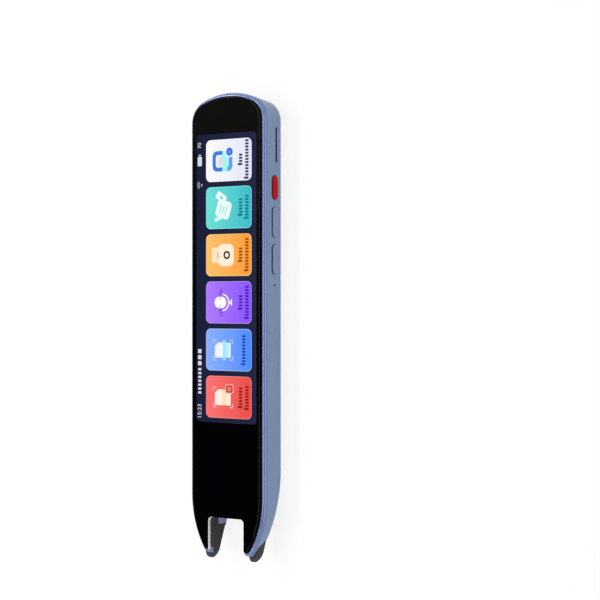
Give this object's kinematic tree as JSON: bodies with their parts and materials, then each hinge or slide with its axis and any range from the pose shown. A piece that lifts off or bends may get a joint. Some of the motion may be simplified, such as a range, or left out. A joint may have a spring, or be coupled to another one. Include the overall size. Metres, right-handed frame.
{
  "type": "handheld translator",
  "caption": "Slim handheld scanning translator with a long glass-fronted screen, a forked scanning tip, side keys and a raised camera and speaker plate on its back.",
  "frame": {"origin": "middle of the pen's footprint, on the flat outer face of the rear camera and speaker plate, as it lies on its back", "axes": "+X along the pen towards the top end, away from the fork; +Z out of the screen; the keys are on the -Y side"},
  "size_m": [0.146, 0.0295, 0.0123],
  "materials": {
    "black_glass": "polished black cover glass",
    "rim_blue": "satin moulded plastic, slate blue",
    "band_blue": "satin moulded plastic, slate blue",
    "cover_blue": "fine matte moulded plastic, pale blue",
    "plate_blue": "fine matte moulded plastic, pale blue",
    "bezel_dark": "dark anodised ring",
    "lens_glass": "coated clear disc",
    "mesh_dark": "dark woven acoustic mesh",
    "button_red": "satin red",
    "key_blue": "satin moulded plastic, slate blue",
    "fork_grey": "dark grey wear-resistant plastic",
    "housing_blue": "satin moulded plastic, dark slate",
    "black_plastic": "black moulded plastic",
    "window_glass": "dark filter glass",
    "screen": "lit colour display",
    "flex_amber": "polyimide film",
    "chassis_metal": "stamped sheet",
    "board_green": "solder-masked circuit board",
    "shield_metal": "plated sheet",
    "screw_steel": "zinc plated",
    "battery_foil": "laminated foil pouch",
    "pad_foam": "thin foam tape",
    "led_white": "white emitter package",
    "spring_steel": "drawn spring wire"
  },
  "bodies": {
    "casing": {"front_glass": "black_glass", "front_frame": "rim_blue", "side_frame": "band_blue", "rear_cover": "cover_blue", "camera_speaker_plate": "plate_blue", "camera_bezel": "bezel_dark", "camera_lens_cover": "lens_glass", "speaker_mesh": "mesh_dark", "scan_housing": "housing_blue", "scan_window_bezel": "black_plastic", "scan_window": "window_glass", "glass_carrier": "black_plastic", "display_module": "screen", "display_flex": "flex_amber", "inner_chassis": "chassis_metal", "main_board": "board_green", "processor_shield": "shield_metal", "chassis_screws": "screw_steel", "battery": "battery_foil", "battery_pad": "pad_foam", "speaker_module": "black_plastic", "speaker_gasket": "pad_foam", "camera_module": "black_plastic", "side_key_board": "board_green", "side_key_switches": "screw_steel", "card_socket": "shield_metal", "side_microphone": "shield_metal", "top_microphone": "shield_metal", "usb_port": "shield_metal", "antenna_flex": "flex_amber", "scan_camera_module": "black_plastic", "scan_board": "board_green", "scan_leds": "led_white", "nib_springs": "spring_steel", "nib_switch": "black_plastic"},
    "power_button": {"power_button": "button_red"},
    "upper_key": {"upper_key": "key_blue"},
    "lower_key": {"lower_key": "key_blue"},
    "nib_fork": {"nib_fork": "fork_grey"}
  },
  "joints": [
    {"name": "power_button_press", "type": "slide", "parent": "casing", "child": "power_button", "axis": [0, 0.9954, 0.0958], "range_m": [0, 0.00025], "stiffness_N_per_m": 2500, "springref_m": -0.0003},
    {"name": "upper_key_press", "type": "slide", "parent": "casing", "child": "upper_key", "axis": [0, 0.9954, 0.0958], "range_m": [0, 0.00025], "stiffness_N_per_m": 2500, "springref_m": -0.0003},
    {"name": "lower_key_press", "type": "slide", "parent": "casing", "child": "lower_key", "axis": [0, 0.9954, 0.0958], "range_m": [0, 0.00025], "stiffness_N_per_m": 2500, "springref_m": -0.0003},
    {"name": "nib_fork_press", "type": "slide", "parent": "casing", "child": "nib_fork", "axis": [1, 0, 0], "range_m": [0, 0.00035], "stiffness_N_per_m": 1500, "springref_m": -0.0005, "deforming": ["nib_springs"]}
  ]
}
